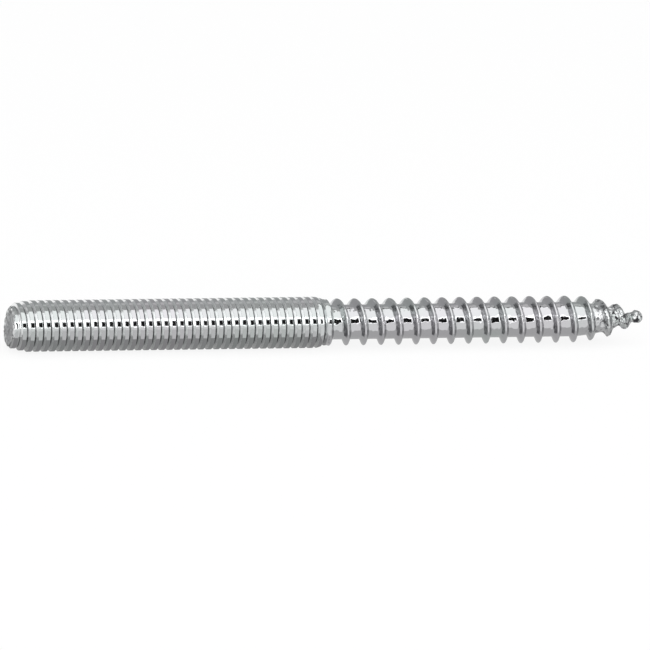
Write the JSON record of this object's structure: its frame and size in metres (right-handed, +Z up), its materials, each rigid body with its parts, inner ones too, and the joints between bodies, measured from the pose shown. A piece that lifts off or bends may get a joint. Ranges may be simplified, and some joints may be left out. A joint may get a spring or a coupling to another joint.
{
  "type": "stud bolt",
  "caption": "Double-ended steel stud bolt: a machine thread with a chamfered end on one half, a coarse wood thread with a gimlet point on the other.",
  "frame": {"origin": "on the plane the bolt lies on, below the middle of its length", "axes": "+X along the bolt from the machine end to the point, +Z up"},
  "size_m": [0.102, 0.0078, 0.0079],
  "materials": {
    "zinc_plate": "bright zinc plate on steel"
  },
  "bodies": {
    "root": {"stud_bolt": "zinc_plate"}
  },
  "joints": []
}
